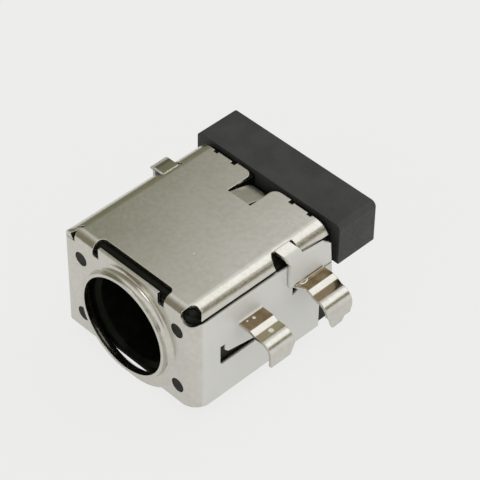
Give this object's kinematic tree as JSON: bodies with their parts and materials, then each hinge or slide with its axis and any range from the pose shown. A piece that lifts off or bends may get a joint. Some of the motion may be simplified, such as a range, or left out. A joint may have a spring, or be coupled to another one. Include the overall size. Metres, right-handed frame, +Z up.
{
  "type": "dc barrel jack",
  "caption": "Board-mounted DC power socket: folded sheet shield with a drawn collar and solder feet round a moulded housing, centre pin, side springs and rear tail block.",
  "frame": {"origin": "centre of the collar's mouth, on the bore's axis at the collar's rim", "axes": "+X to the right as seen from in front of the mouth, +Y along the bore into the jack, +Z up, from the board to the top plate"},
  "size_m": [0.015, 0.0145, 0.0084],
  "materials": {
    "plated_sheet": "nickel-plated, bright but slightly satin",
    "black_moulding": "glossy black moulded plastic",
    "rear_moulding": "matte dark grey moulded plastic",
    "pin_plating": "bright nickel plating on turned brass",
    "contact_plating": "tinned copper alloy strip"
  },
  "bodies": {
    "root": {"shield_shell": "plated_sheet", "housing": "black_moulding", "rear_block": "rear_moulding", "centre_pin": "pin_plating", "pin_terminal": "contact_plating", "sleeve_spring_left": "contact_plating", "sleeve_spring_right": "contact_plating"}
  },
  "joints": []
}
